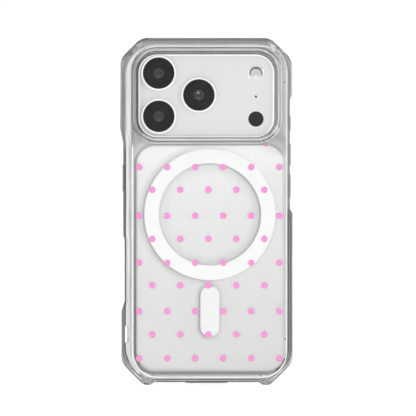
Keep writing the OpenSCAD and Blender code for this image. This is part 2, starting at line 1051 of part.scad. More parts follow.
module phone_magnets() {
    color("dimgray")
        magnet_segments(
            [0, ring_z], phone_ring_outer_d, phone_ring_inner_d,
            magnet_count, magnet_arc, coil_y, coil_y + coil_t
        );
}

case_bumper();
case_back_plate();
camera_guard();
frosted_panel();
magnet_ring_cover();
case_magnets();
alignment_bar();
alignment_magnet();
printed_dots();
key_cover(power_key);  // power_cover
key_cover(shortcut_key);  // shortcut_cover
key_cover(volume_up_key);  // volume_up_cover
key_cover(volume_down_key);  // volume_down_cover
phone_body();
back_glass();
front_glass();
display_panel();
earpiece_mesh();
lens_ring(lens_top);  // lens_ring_top
lens_ring(lens_low);  // lens_ring_low
lens_ring(lens_side);  // lens_ring_side
lens_glass(lens_top);  // lens_glass_top
lens_glass(lens_low);  // lens_glass_low
lens_glass(lens_side);  // lens_glass_side
lens_barrel(lens_top);  // lens_barrel_top
lens_barrel(lens_low);  // lens_barrel_low
lens_barrel(lens_side);  // lens_barrel_side
flash_lens();
flash_led();
depth_window();
rear_mic_mesh();
front_camera();
key_button(power_key);  // power_button
key_button(shortcut_key);  // shortcut_button
key_button(volume_up_key);  // volume_up_button
key_button(volume_down_key);  // volume_down_button
shutter_button();
button_switches();
antenna_bands();
usb_shell();
usb_tongue();
bottom_screws();
speaker_mesh();
speaker_box();
haptic_motor();
battery();
logic_board();
charging_coil();
phone_magnets();
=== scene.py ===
"""Smartphone in a clear bumper case: its looks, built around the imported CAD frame."""

import math

import bpy
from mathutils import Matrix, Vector


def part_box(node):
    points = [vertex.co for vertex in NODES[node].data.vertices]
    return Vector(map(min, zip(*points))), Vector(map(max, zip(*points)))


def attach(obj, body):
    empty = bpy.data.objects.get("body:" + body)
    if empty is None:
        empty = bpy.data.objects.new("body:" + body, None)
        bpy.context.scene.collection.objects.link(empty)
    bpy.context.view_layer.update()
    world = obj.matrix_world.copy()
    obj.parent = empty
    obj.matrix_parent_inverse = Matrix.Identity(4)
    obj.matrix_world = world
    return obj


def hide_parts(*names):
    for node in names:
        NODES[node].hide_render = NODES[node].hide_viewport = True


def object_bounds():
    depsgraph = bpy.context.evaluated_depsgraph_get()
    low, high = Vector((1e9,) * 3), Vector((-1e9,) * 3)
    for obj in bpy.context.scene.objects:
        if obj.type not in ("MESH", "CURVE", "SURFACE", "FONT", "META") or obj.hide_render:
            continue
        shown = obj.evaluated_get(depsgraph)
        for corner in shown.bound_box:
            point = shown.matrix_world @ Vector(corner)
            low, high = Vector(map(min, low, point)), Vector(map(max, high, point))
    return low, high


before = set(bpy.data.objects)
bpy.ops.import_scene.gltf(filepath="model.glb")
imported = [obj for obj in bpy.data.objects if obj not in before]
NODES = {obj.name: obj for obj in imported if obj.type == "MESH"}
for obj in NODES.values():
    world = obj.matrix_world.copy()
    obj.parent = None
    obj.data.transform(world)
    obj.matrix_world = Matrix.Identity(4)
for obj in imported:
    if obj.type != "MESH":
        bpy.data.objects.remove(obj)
CAD_LOW, CAD_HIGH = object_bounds()
MM = 0.001
HAIR = 0.02 * MM

# ---------- camera, light and floor ----------

FRAME_WIDTH = 0.1876
LENS = 200
SENSOR = 36
AIM_X = 0.0007
AIM_Z = 0.0798


def link(obj):
    bpy.context.scene.collection.objects.link(obj)
    return obj


def make_camera():
    """A long lens, level with the middle of the object and square to its back."""
    data = bpy.data.cameras.new("camera")
    data.lens = LENS
    data.sensor_width = SENSOR
    data.clip_start = 0.05
    data.clip_end = 50
    camera = link(bpy.data.objects.new("camera", data))
    plate_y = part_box("case_back_plate")[0].y
    camera.location = (AIM_X, plate_y - FRAME_WIDTH * LENS / SENSOR, AIM_Z)
    camera.rotation_euler = (math.radians(90), 0, 0)
    bpy.context.scene.camera = camera


def tone(display):
    """The linear value of a grey or colour channel given as it looks on a screen, from 0 to 1."""
    return display / 12.92 if display <= 0.04045 else ((display + 0.055) / 1.055) ** 2.4


class Graph:
    """Builds the nodes of one material or world. Lengths inside it are in millimetres."""

    def __init__(self, owner):
        owner.use_nodes = True
        self.owner = owner
        self.tree = owner.node_tree
        self.tree.nodes.clear()

    def add(self, kind, inputs=None, **settings):
        node = self.tree.nodes.new(kind)
        for name, value in settings.items():
            setattr(node, name, value)
        for name, value in (inputs or {}).items():
            self.put(node.inputs[name], value)
        return node

    def put(self, socket, value):
        if isinstance(value, bpy.types.NodeSocket):
            self.tree.links.new(value, socket)
        elif isinstance(value, (tuple, list)) and len(socket.default_value) == len(value) + 1:
            socket.default_value = (*value, 1)
        else:
            socket.default_value = value

    def math(self, operation, a, b=0.0, c=0.0):
        return self.add("ShaderNodeMath", {0: a, 1: b, 2: c}, operation=operation).outputs[0]

    def object_coords(self):
        return self.add("ShaderNodeTexCoord").outputs["Object"]

    def place(self):
        """The x, y and z of the point on the surface, in the row frame."""
        split = self.add("ShaderNodeSeparateXYZ", {0: self.object_coords()})
        return [self.math("MULTIPLY", split.outputs[i], 1 / MM) for i in range(3)]

    def normal(self, axis):
        normal = self.add("ShaderNodeNewGeometry").outputs["Normal"]
        return self.add("ShaderNodeSeparateXYZ", {0: normal}).outputs[axis]

    def reach(self, x, z, at):
        """Distance from the axis through the point [x, z]."""
        dx = self.math("SUBTRACT", x, at[0])
        dz = self.math("SUBTRACT", z, at[1])
        square = self.math("MULTIPLY_ADD", dx, dx, self.math("MULTIPLY", dz, dz))
        return self.math("SQRT", square)

    def outside(self, x, z, shape):
        """Distance outside a rounded rectangle, negative inside it."""
        (x0, z0), (x1, z1), r = shape
        over = []
        for value, low, high in ((x, x0, x1), (z, z0, z1)):
            off = self.math("ABSOLUTE", self.math("SUBTRACT", value, (low + high) / 2))
            over.append(self.math("SUBTRACT", off, (high - low) / 2 - r))
        a, b = [self.math("MAXIMUM", o, 0) for o in over]
        corner = self.math("SQRT", self.math("MULTIPLY_ADD", a, a, self.math("MULTIPLY", b, b)))
        flat = self.math("MINIMUM", self.math("MAXIMUM", *over), 0)
        return self.math("SUBTRACT", self.math("ADD", corner, flat), r)

    def ramp(self, value, *stops):
        """Greys along a value, each stop being its place and how light it looks from 0 to 1."""
        low, high = stops[0][0], stops[-1][0]
        factor = self.math("DIVIDE", self.math("SUBTRACT", value, low), high - low)
        node = self.add("ShaderNodeValToRGB", {0: factor})
        ramp = node.color_ramp
        while len(ramp.elements) < len(stops):
            ramp.elements.new(0.5)
        for element, (place, look) in zip(ramp.elements, stops):
            channels = look if isinstance(look, tuple) else (look,) * 3
            element.position = (place - low) / (high - low)
            element.color = (*[tone(c) for c in channels], 1)
        return node.outputs[0]

    def smooth(self, value, start, end, low=0.0, high=1.0):
        inputs = {0: value, 1: start, 2: end, 3: low, 4: high}
        return self.add("ShaderNodeMapRange", inputs, interpolation_type="SMOOTHSTEP").outputs[0]

    def blend(self, factor, a, b, mode="MIX"):
        node = self.add("ShaderNodeMix", data_type="RGBA", blend_type=mode)
        for socket, value in ((node.inputs[0], factor), (node.inputs[6], a), (node.inputs[7], b)):
            self.put(socket, value)
        return node.outputs[2]

    def times(self, a, b):
        return self.blend(1.0, a, b, "MULTIPLY")

    def vector(self, x, y, z):
        return self.add("ShaderNodeCombineXYZ", {0: x, 1: y, 2: z}).outputs[0]

    def noise(self, scale, detail=2.0, vector=None):
        inputs = {"Scale": scale, "Detail": detail, "Vector": vector or self.object_coords()}
        return self.add("ShaderNodeTexNoise", inputs).outputs["Fac"]

    def bump(self, height, distance, strength=1.0):
        inputs = {"Height": height, "Distance": distance, "Strength": strength}
        return self.add("ShaderNodeBump", inputs).outputs[0]

    def principled(self, **inputs):
        names = {k.replace("_", " "): v for k, v in inputs.items()}
        return self.add("ShaderNodeBsdfPrincipled", names)

    def finish(self, shader, shadow=None):
        """Ends the material. A see-through one lets light through to what is under it."""
        surface = shader.outputs[0]
        if shadow is not None:
            path = self.add("ShaderNodeLightPath")
            see = self.add("ShaderNodeBsdfTransparent", {"Color": (shadow,) * 3})
            inputs = {0: path.outputs["Is Shadow Ray"], 1: surface, 2: see.outputs[0]}
            surface = self.add("ShaderNodeMixShader", inputs).outputs[0]
        out = self.add("ShaderNodeOutputMaterial")
        self.tree.links.new(surface, out.inputs["Surface"])
        return self.owner


def make_world():
    """A soft tent, bright at the horizon and overhead and dimmer between; the camera sees it white."""
    world = bpy.data.worlds.new("studio")
    g = Graph(world)
    seen = g.add("ShaderNodeBackground", {"Color": (1, 1, 1), "Strength": 1.05})
    up = g.add("ShaderNodeSeparateXYZ", {0: g.add("ShaderNodeTexCoord").outputs["Generated"]})
    height = up.outputs[2]
    low = g.smooth(height, 0.02, 0.35, 0.98, 0.42)
    level = g.math("MAXIMUM", low, g.smooth(height, 0.4, 0.9, 0.42, 0.7))
    room = g.add("ShaderNodeBackground", {"Color": (0.98, 0.99, 1.0), "Strength": level})
    path = g.add("ShaderNodeLightPath")
    inputs = {0: path.outputs["Is Camera Ray"], 1: room.outputs[0], 2: seen.outputs[0]}
    mix = g.add("ShaderNodeMixShader", inputs)
    out = g.add("ShaderNodeOutputWorld")
    g.tree.links.new(mix.outputs[0], out.inputs[0])
    bpy.context.scene.world = world


def area(name, place, size, energy):
    """A soft lamp that faces the middle of the object."""
    data = bpy.data.lights.new(name, "AREA")
    data.shape = "RECTANGLE"
    data.size, data.size_y = size
    data.energy = energy
    light = link(bpy.data.objects.new(name, data))
    light.location = place
    aim = (CAD_LOW + CAD_HIGH) / 2 - Vector(place)
    light.rotation_euler = aim.to_track_quat("-Z", "Y").to_euler()


def make_lights():
    """A large key and fill on the camera's side, and one on the screen's side."""
    area("key", (3.2, -3.0, 1.6), (1.6, 1.6), 42)
    area("fill", (-2.4, -3.4, 1.4), (2.4, 2.4), 22)
    area("screen_side", (0.9, 2.7, 1.8), (2.4, 2.4), 26)


def make_floor():
    """A plain pale floor, level with the object's feet."""
    bpy.ops.mesh.primitive_plane_add(size=30, location=(0, 0, CAD_LOW.z))
    floor = bpy.context.object
    floor.name = "floor"
    g = Graph(bpy.data.materials.new("pale_floor"))
    shader = g.principled(Base_Color=(0.6, 0.6, 0.6), Emission_Color=(1, 1, 1))
    shader.inputs["Emission Strength"].default_value = 0.66
    g.put(shader.inputs["Roughness"], g.ramp(g.noise(4), (0.3, 0.9), (0.7, 0.95)))
    floor.data.materials.append(g.finish(shader))


# ---------- outlines and centres that the looks follow, from the CAD boxes ----------


def outline_of(node, radius):
    """A node's outline from behind: low corner, high corner and corner radius."""
    low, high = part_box(node)
    return (low.x / MM, low.z / MM), (high.x / MM, high.z / MM), radius


def centre_of(node):
    """The middle of a round node from behind, and its radius."""
    low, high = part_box(node)
    return ((low.x + high.x) / 2 / MM, (low.z + high.z) / 2 / MM), (high.x - low.x) / 2 / MM


PLATE = outline_of("case_back_plate", 11.5)
PANEL = outline_of("frosted_panel", 8.5)
GUARD = outline_of("camera_guard", 11.5)
PHONE = outline_of("phone_body", 13.5)
# The bright cut edge of the camera plateau, which is part of phone_body and has no box of its own
PLATEAU = (-30.8, 111.55), (30.8, 149.25), 8.5
BAR = outline_of("alignment_bar", 4)
RING_AT, RING_R = centre_of("magnet_ring_cover")
RING_WIDTH = 6.6

# The bumper's outline: half widths up each side, as [height, half width] pairs, and the reach of
# its cut corners along X and Z together, from the middle of the foot line
RIGHT_SIDE = (77.2, 39.0), (79.4, 37.7), (128.4, 37.7), (130.6, 38.7)
LEFT_SIDE = (33.3, 38.4), (37.7, 37.0), (65.4, 37.0), (67.6, 37.6), (109.0, 37.6), (116.0, 38.9)
TOP = CAD_HIGH.z / MM
FOOT = 1.0
CUT_HIGH_RIGHT, CUT_HIGH_LEFT = 185.45, 186.1
CUT_LOW_RIGHT, CUT_LOW_LEFT = 28.9, 28.55
CUT_SOFT = 3.5
MIDDLE = TOP / 2
GUARD_MIDDLE = 130.5
# Tones of a shape's left and right sides blend over this far either side of its middle
SIDE_BLEND = 12
# How clear the bumper is where it faces sideways, toward the back and toward the screen side
CLEAR_SIDE, CLEAR_BACK, CLEAR_FRONT = 0.85, 0.3, 0.4

# ---------- clear plastics ----------


def new(name):
    return Graph(bpy.data.materials.new(name))


def around(g, x, z, left, right, top, bottom, shape):
    """One of four greys by which side of a shape the point lies on, blended at its corners."""
    (_, z0), (_, z1), r = shape
    sides = g.blend(g.smooth(x, -SIDE_BLEND, SIDE_BLEND), left, right)
    upper = g.blend(g.smooth(z, z1 - 0.8 * r, z1 - 0.15 * r), sides, top)
    return g.blend(g.smooth(z, z0 + 0.6 * r, z0 + 0.1 * r), upper, bottom)


def streaks(g, d, x, z, strength):
    """Fine painted light and dark streaks of refraction that run along an outline."""
    flow = g.noise(1.0, 3.0, g.vector(g.math("MULTIPLY", d, 2.0), g.math("MULTIPLY", x, 0.06),
                                      g.math("MULTIPLY", z, 0.06)))
    return g.smooth(flow, 0.3, 0.7, 1 - strength, 1 + strength)


def side_line(g, z, points):
    """The half width of the bumper at each height."""
    width = points[0][1]
    for (z0, w0), (z1, w1) in zip(points, points[1:]):
        if w0 != w1:
            width = g.math("ADD", width, g.smooth(z, z0, z1, 0.0, w1 - w0))
    return width


def from_silhouette(g, x, z):
    """Distance outside the bumper's outline, negative inside it."""
    left_x = g.math("MULTIPLY", x, -1)
    down = g.math("MULTIPLY", z, -1)
    parts = [
        g.math("SUBTRACT", x, side_line(g, z, RIGHT_SIDE)),
        g.math("SUBTRACT", left_x, side_line(g, z, LEFT_SIDE)),
        g.math("SUBTRACT", z, TOP),
        g.math("ADD", down, FOOT),
    ]
    edge = parts[0]
    for part in parts[1:]:
        edge = g.math("MAXIMUM", edge, part)
    for a, b, reach in ((x, z, CUT_HIGH_RIGHT), (left_x, z, CUT_HIGH_LEFT),
                        (x, down, CUT_LOW_RIGHT), (left_x, down, CUT_LOW_LEFT)):
        over = g.math("SUBTRACT", g.math("ADD", a, b), reach)
        edge = g.math("SMOOTH_MAX", edge, g.math("MULTIPLY", over, math.sqrt(0.5)), CUT_SOFT)
    return edge


def bumper_tone(g, x, z):
    """Painted light and shade of refraction: pale over the phone, darker bands in the deep wall outside it,
    and an outline.
    """
    d = g.outside(x, z, PHONE)
    left_low = g.ramp(d, (-2.4, 0.97), (-2.1, 0.9), (-1.7, 0.82), (-1.25, 0.88), (-0.8, 0.94),
                      (-0.35, 0.95), (0.0, 0.98), (0.2, 0.92), (0.5, 0.4), (0.8, 0.38),
                      (1.1, 0.56), (1.35, 0.68), (1.7, 0.5), (2.1, 0.74), (3.0, 0.72))
    left_high = g.ramp(d, (-2.4, 0.98), (-1.2, 0.95), (-0.6, 0.98), (0.0, 0.98), (0.3, 0.86), (0.7, 0.64),
                       (1.3, 0.6), (1.65, 0.5), (2.0, 0.74), (3.0, 0.78))
    left = g.blend(g.smooth(z, 104, 112), left_low, left_high)
    right_high = g.ramp(d, (-0.5, 1.0), (0.0, 0.98), (0.4, 0.98), (0.75, 0.72), (1.2, 0.62), (1.6, 0.62),
                        (1.9, 0.8), (3.0, 0.86))
    right_low = g.ramp(d, (-0.5, 1.0), (0.0, 1.0), (0.35, 0.8), (0.7, 0.42), (1.25, 0.4), (1.65, 0.66),
                       (2.1, 0.32), (2.5, 0.7), (3.0, 0.9))
    right = g.blend(g.smooth(z, 84, 76), right_high, right_low)
    top = g.ramp(d, (-0.6, 1.0), (-0.2, 0.97), (0.15, 0.58), (0.5, 0.78), (0.9, 0.56), (1.3, 0.66),
                 (1.9, 0.56), (2.4, 0.64), (2.9, 0.48))
    bottom = g.ramp(d, (-0.3, 1.0), (0.35, 1.0), (0.65, 0.85), (0.95, 0.5), (1.15, 0.4), (1.35, 0.7),
                    (1.57, 1.0), (1.75, 0.7), (1.98, 0.2), (2.2, 0.5), (2.45, 0.85), (2.9, 0.7))
    bands = around(g, x, z, left, right, top, bottom, PHONE)
    edge = from_silhouette(g, x, z)
    # Painted dark and light lines of refraction along the bumper's silhouette
    line = g.ramp(edge, (-3.4, 1.0), (-2.9, 0.94), (-2.4, 1.02), (-1.6, 1.0), (-1.1, 0.88),
                  (-0.7, 0.84), (-0.4, 1.0), (0.5, 1.05))
    line = g.blend(g.smooth(z, 3.4, 2.4), line, (tone(0.9),) * 3)
    bands = g.times(g.times(bands, line), streaks(g, d, x, z, 0.14))
    wide = g.math("ABSOLUTE", x)
    tall = g.math("ABSOLUTE", g.math("SUBTRACT", z, MIDDLE))
    corner = g.math("MULTIPLY", g.smooth(wide, 25, 31), g.smooth(tall, 67, 73))
    corner = g.math("MULTIPLY", corner, g.smooth(d, -0.2, 0.4))
    bands = g.blend(corner, bands, corner_tone(g, x, z, edge))
    foot = g.math("MULTIPLY", g.smooth(wide, 22.8, 23.6), g.smooth(z, 3.1, 2.5))
    return g.blend(foot, bands, foot_tone(g, x, z))


def slanted(g, x, z, across, along):
    """Noise in streaks that run down and outward from the middle, as the cut corners do."""
    wide = g.math("ABSOLUTE", x)
    tall = g.math("ABSOLUTE", g.math("SUBTRACT", z, MIDDLE))
    out = g.math("MULTIPLY", g.math("ADD", wide, tall), across)
    side = g.math("MULTIPLY", g.math("SUBTRACT", wide, tall), along)
    return g.noise(1.0, 3.0, g.vector(out, side, g.math("MULTIPLY", x, 0.02)))


def corner_tone(g, x, z, edge):
    """The solid corners, in painted light and shade of refraction: mottled, with streaks along the cut and a
    darker outline.
    """
    low = g.ramp(edge, (-4.0, 1.0), (-2.4, 1.0), (-2.1, 0.9), (-1.85, 0.58), (-1.45, 0.62), (-1.15, 1.0),
                 (-0.8, 0.84), (-0.5, 0.4), (-0.15, 0.46), (0.0, 0.6))
    left = g.ramp(edge, (-5.0, 0.82), (-2.7, 0.8), (-2.0, 0.67), (-1.5, 0.68), (-0.9, 0.5), (-0.4, 0.52),
                  (0.0, 0.7))
    right = g.ramp(edge, (-5.0, 0.96), (-1.8, 0.93), (-1.2, 0.76), (-0.6, 0.58), (-0.3, 0.58), (0.0, 0.75))
    lines = g.blend(g.smooth(x, -SIDE_BLEND, SIDE_BLEND), left, right)
    lines = g.blend(g.smooth(z, 60, 100), low, lines)
    flow = g.ramp(slanted(g, x, z, 0.9, 0.2), (0.3, 0.72), (0.45, 0.94), (0.58, 1.0), (0.68, 1.3))
    mottle = g.ramp(g.noise(420, 3), (0.3, 0.82), (0.5, 1.0), (0.7, 1.12))
    return g.times(lines, g.times(flow, mottle))


def foot_tone(g, x, z):
    """The glassy feet: painted dark and bright streaks of refraction inside a dark outline."""
    flow = g.ramp(slanted(g, x, z, 1.1, 0.35), (0.32, 0.14), (0.44, 0.5), (0.5, 0.9), (0.56, 0.4),
                  (0.7, 0.95))
    return g.times(flow, g.ramp(z, (0.15, 0.6), (0.8, 1.0)))


def front_tone(g, x, z):
    """The lip round the screen: painted grey bands of refraction along its outline, mottled in the solid
    corners.
    """
    bands = g.ramp(from_silhouette(g, x, z), (-4.5, 0.8), (-2.6, 0.74), (-1.7, 0.86), (-1.1, 0.66),
                   (-0.6, 0.44), (-0.2, 0.5), (0.0, 0.64))
    flow = g.ramp(slanted(g, x, z, 0.9, 0.2), (0.3, 0.82), (0.5, 0.96), (0.66, 1.12))
    return g.times(bands, flow)


def clear_bumper():
    """Soft clear plastic. Its bands are painted light and shade of refraction, painted by place, so it is
    only partly see-through.
    """
    g = new("clear_bumper")
    x, _, z = g.place()
    back = g.normal(1)
    facing = g.smooth(back, -0.02, -0.12)
    ahead = g.smooth(back, 0.3, 0.7)
    to_back = g.smooth(back, -0.3, -0.9, CLEAR_SIDE, CLEAR_BACK)
    clear = g.math("MINIMUM", to_back, g.smooth(back, 0.3, 0.8, CLEAR_SIDE, CLEAR_FRONT))
    pale = g.blend(ahead, (0.82, 0.83, 0.835), front_tone(g, x, z))
    colour = g.blend(facing, pale, bumper_tone(g, x, z))
    shader = g.principled(Base_Color=colour, IOR=1.3, Transmission_Weight=clear)
    g.put(shader.inputs["Roughness"], g.ramp(g.noise(60, 3), (0.3, 0.1), (0.8, 0.25)))
    g.put(shader.inputs["Normal"], g.bump(g.noise(300, 2), 0.0002, 0.25))
    return g.finish(shader, 0.85)


def clear_plate():
    """Hard clear plate, with painted shade: the phone's back shows darker in the strip around the frosted
    panel, darker still low down and in the upper corners.
    """
    g = new("clear_plate")
    x, _, z = g.place()
    d = g.outside(x, z, PANEL)
    side = g.ramp(d, (-0.2, 1.0), (0.1, 0.93), (0.5, 0.82), (1.0, 0.86), (1.35, 1.0), (3.0, 1.0))
    # Painted shade: the strip beside the panel gets darker toward the bottom
    low = g.ramp(z, (0, 0.8), (30, 0.86), (100, 1.0))
    dark = g.math("MULTIPLY", g.smooth(d, 0.0, 0.3), g.smooth(d, 1.5, 1.1))
    side = g.blend(dark, side, g.times(side, low))
    # Painted shade in the strip below the panel and in the corner zones above it
    under = g.ramp(d, (-0.2, 1.0), (0.2, 0.98), (0.6, 0.8), (1.3, 0.76), (1.7, 0.7), (2.1, 0.94), (2.5, 1.0))
    corner = g.ramp(d, (-0.2, 1.0), (0.1, 0.88), (2.0, 0.97), (5.0, 0.9), (9.0, 0.98))
    corner = g.blend(g.smooth(x, 22, 30), corner, g.times(corner, (0.92,) * 3))
    colour = around(g, x, z, side, (1, 1, 1), corner, under, PANEL)
    shader = g.principled(Base_Color=colour, IOR=1.4, Transmission_Weight=1.0)
    g.put(shader.inputs["Roughness"], g.ramp(g.noise(40, 3), (0.3, 0.02), (0.8, 0.06)))
    return g.finish(shader, 0.97)


def clear_guard():
    """Raised clear guard, with painted light and shade of refraction: the bands of its crest and flank, and
    light and dark hatching in its corners.
    """
    g = new("clear_guard")
    x, _, z = g.place()
    d = g.outside(x, z, GUARD)
    left = g.ramp(d, (-2.9, 0.4), (-2.5, 0.38), (-2.0, 0.58), (-1.6, 0.76), (-1.15, 0.62), (-0.7, 0.74),
                  (-0.3, 0.54), (0.0, 0.5))
    right = g.ramp(d, (-3.2, 0.66), (-2.5, 0.6), (-2.05, 0.66), (-1.6, 0.96), (-1.15, 0.72),
                   (-0.7, 0.74), (-0.25, 1.0), (0.0, 0.96))
    top = g.ramp(d, (-3.0, 0.62), (-2.4, 0.58), (-2.05, 0.4), (-1.7, 0.9), (-1.0, 0.92), (-0.6, 0.64),
                 (0.0, 0.58))
    bottom = g.ramp(d, (-2.8, 0.66), (-2.3, 0.8), (-1.8, 0.94), (-1.4, 0.76), (-0.95, 0.42), (-0.5, 0.9),
                    (0.0, 0.84))
    bands = around(g, x, z, left, right, top, bottom, GUARD)
    # Painted light and dark hatching of refraction in the guard's corners
    hatch_light_shade = g.ramp(slanted(g, x, z, 1.6, 0.12), (0.3, 0.66), (0.5, 0.98), (0.7, 1.25))
    wide = g.math("ABSOLUTE", x)
    tall = g.math("ABSOLUTE", g.math("SUBTRACT", z, GUARD_MIDDLE))
    corner = g.math("MULTIPLY", g.smooth(wide, 20, 26), g.smooth(tall, 9, 14))
    hatch_light_mask = g.math("MULTIPLY", corner, g.smooth(x, -20, 20, 0.45, 0.9))
    bands = g.blend(hatch_light_mask, bands, g.times(bands, hatch_light_shade))
    colour = g.times(bands, streaks(g, d, x, z, 0.12))
    shader = g.principled(Base_Color=colour, IOR=1.3, Transmission_Weight=0.25)
    g.put(shader.inputs["Roughness"], g.ramp(g.noise(80, 3), (0.3, 0.2), (0.8, 0.35)))
    return g.finish(shader, 0.85)


# ---------- prints, film and magnets' covers ----------


def frosted_film():
    """Pale frosted film, lighter toward the top, with painted soft grey shade beside the raised ring and bar
    and along its edges.
    """
    g = new("frosted_film")
    x, _, z = g.place()
    height = g.ramp(z, (5, 0.885), (40, 0.9), (75, 0.93), (95, 0.955), (108, 1.0))
    reach = g.math("SUBTRACT", g.reach(x, z, RING_AT), RING_R)
    side = g.math("DIVIDE", g.math("SUBTRACT", x, RING_AT[0]), RING_R)
    outer = g.ramp(reach, (0.0, 0.88), (1.0, 0.92), (3.5, 1.0))
    inner = g.ramp(reach, (-RING_WIDTH - 5, 1.0), (-RING_WIDTH - 1.5, 0.93), (-RING_WIDTH, 0.84))
    beyond = g.smooth(reach, -3.0, -2.9)
    outer = g.blend(g.smooth(side, 0.4, -0.7), (1, 1, 1), outer)
    inner = g.blend(g.smooth(side, -1.0, 0.7, 0.35, 1.0), (1, 1, 1), inner)
    ring_shade = g.blend(beyond, inner, outer)
    bar = g.outside(x, z, BAR)
    bar_shade = g.ramp(bar, (0.0, 0.86), (0.8, 0.9), (2.4, 1.0))
    bar_shade = g.blend(g.smooth(x, 9, -2, 0.2, 1.0), (1, 1, 1), bar_shade)
    inside = g.outside(x, z, PANEL)
    # Painted shade along the film's edges, more on the left
    left_edge_shade = g.ramp(inside, (-1.6, 1.0), (-0.5, 0.96), (0.0, 0.88))
    right_edge_shade = g.ramp(inside, (-1.6, 1.0), (-0.5, 0.99), (0.0, 0.96))
    edge = g.blend(g.smooth(x, -20, 20), left_edge_shade, right_edge_shade)
    colour = g.times(g.times(height, ring_shade), g.times(bar_shade, edge))
    grain = g.noise(5000, 2)
    shader = g.principled(Base_Color=g.times(colour, g.ramp(grain, (0.3, 0.985), (0.7, 1.0))))
    g.put(shader.inputs["Roughness"], g.ramp(grain, (0.3, 0.6), (0.7, 0.7)))
    g.put(shader.inputs["Normal"], g.bump(grain, 0.00002, 0.4))
    return g.finish(shader)


def white_print(name, look):
    """White ink under the plate, as light as look."""
    g = new(name)
    cloud = g.noise(120, 3)
    shader = g.principled(Base_Color=g.ramp(cloud, (0.2, look - 0.01), (0.8, look)))
    g.put(shader.inputs["Roughness"], g.ramp(g.noise(3000, 2), (0.3, 0.45), (0.7, 0.6)))
    return g.finish(shader)


def pink_print():
    """Pink ink of the dots, with a fine grain."""
    g = new("pink_print")
    grain = g.noise(2500, 3)
    colour = g.ramp(grain, (0.2, (0.94, 0.565, 0.815)), (0.8, (0.96, 0.59, 0.835)))
    shader = g.principled(Base_Color=colour)
    g.put(shader.inputs["Roughness"], g.ramp(grain, (0.3, 0.35), (0.7, 0.5)))
    g.put(shader.inputs["Normal"], g.bump(grain, 0.00002, 0.3))
    return g.finish(shader)


def paint(material, *names):
    """Gives CAD nodes a material."""
    for name in names:
        data = NODES[name].data
        data.materials.clear()
        data.materials.append(material)


def ease(node):
    """Draws a node in by a hair, so that faces that touch in the clear parts don't coincide."""
    shrink = NODES[node].modifiers.new("ease", "DISPLACE")
    shrink.mid_level = 0
    shrink.strength = -HAIR


# ---------- phone ----------


def plain(name, look, rough, metal=0.0, grain=900, bump=0.0, coat=0.0):
    """A solid material with fine variation in lightness and roughness."""
    g = new(name)
    fine = g.noise(grain, 4)
    channels = look if isinstance(look, tuple) else (look,) * 3
    darker = tuple(c * 0.97 for c in channels)
    shader = g.principled(Base_Color=g.ramp(fine, (0.3, darker), (0.7, channels)))
    shader.inputs["Metallic"].default_value = metal
    shader.inputs["Coat Weight"].default_value = coat
    g.put(shader.inputs["Roughness"], g.ramp(g.noise(grain / 3, 4), (0.3, rough * 0.85), (0.7, rough * 1.1)))
    if bump:
        g.put(shader.inputs["Normal"], g.bump(fine, bump, 0.5))
    return g.finish(shader)


def silver_body():
    """Fine blasted metal, a little warmer and darker toward the plateau's power side, with a painted
    highlight on its tilted edges.
    """
    g = new("silver_body")
    x = g.place()[0]
    fine = g.noise(4000, 3)
    face = g.ramp(x, (-32, (0.945, 0.94, 0.93)), (32, (0.955, 0.95, 0.94)))
    # Painted highlight: faces tilted away from the back are made lighter
    rim = g.ramp(g.normal(1), (-0.995, 0.925), (-0.96, 1.0))
    shader = g.principled(Base_Color=g.times(face, rim))
    shader.inputs["Metallic"].default_value = 0.25
    g.put(shader.inputs["Roughness"], g.ramp(fine, (0.3, 0.6), (0.7, 0.7)))
    g.put(shader.inputs["Normal"], g.bump(fine, 0.00001, 0.4))
    return g.finish(shader)


def polished_metal():
    """The silver body's metal where its edges are cut bright."""
    g = new("polished_metal")
    fine = g.noise(1800, 3)
    shader = g.principled(Base_Color=g.ramp(fine, (0.3, 0.96), (0.7, 0.985)), Metallic=1.0)
    g.put(shader.inputs["Roughness"], g.ramp(fine, (0.3, 0.22), (0.7, 0.3)))
    return g.finish(shader)


# ---------- turned and domed pieces ----------


def piece(name, verts, faces, material, body):
    """A smooth-shaded piece that rides on a body."""
    mesh = bpy.data.meshes.new(name)
    mesh.from_pydata(verts, [], faces)
    mesh.shade_smooth()
    mesh.materials.append(material)
    obj = link(bpy.data.objects.new(name, mesh))
    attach(obj, body)
    return obj


def turned(name, at, profile, material, body, steps=96, closed=False):
    """A piece turned round the axis along Y through at, from [radius, y] points in millimetres."""
    rings = [
        [((at[0] + r * math.cos(a)) * MM, y * MM, (at[1] + r * math.sin(a)) * MM)
         for a in [2 * math.pi * i / steps for i in range(steps)]]
        for r, y in profile
    ]
    last = len(profile) if closed else len(profile) - 1
    faces = [
        (k * steps + i, k * steps + (i + 1) % steps,
         (k + 1) % len(profile) * steps + (i + 1) % steps, (k + 1) % len(profile) * steps + i)
        for k in range(last) for i in range(steps)
    ]
    return piece(name, [v for ring in rings for v in ring], faces, material, body)


def bevelled_ring(node, material, wall):
    """A lens ring with rounded lips, which stands for the CAD tube."""
    at, r = centre_of(node)
    low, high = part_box(node)
    front, back = low.y / MM, high.y / MM
    profile = [
        (r, back), (r, front + 0.3), (r - 0.08, front + 0.1), (r - 0.25, front),
        (r - wall + 0.2, front), (r - wall + 0.05, front + 0.08), (r - wall, front + 0.25), (r - wall, back),
    ]
    ring = turned(node + "_turned", at, profile, material, "phone", closed=True)
    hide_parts(node)


def lens_element(lens, material, depth, radius, rise):
    """A small dome deep in a camera, behind its glass."""
    at, _ = centre_of("lens_glass_" + lens)
    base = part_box("lens_glass_" + lens)[1].y / MM + depth
    profile = []
    for i in range(9):
        t = i / 8
        profile.append((radius * math.cos(t * math.pi / 2) + 0.001, base - rise * math.sin(t * math.pi / 2)))
    turned(f"lens_element_{lens}", at, profile, material, "phone")


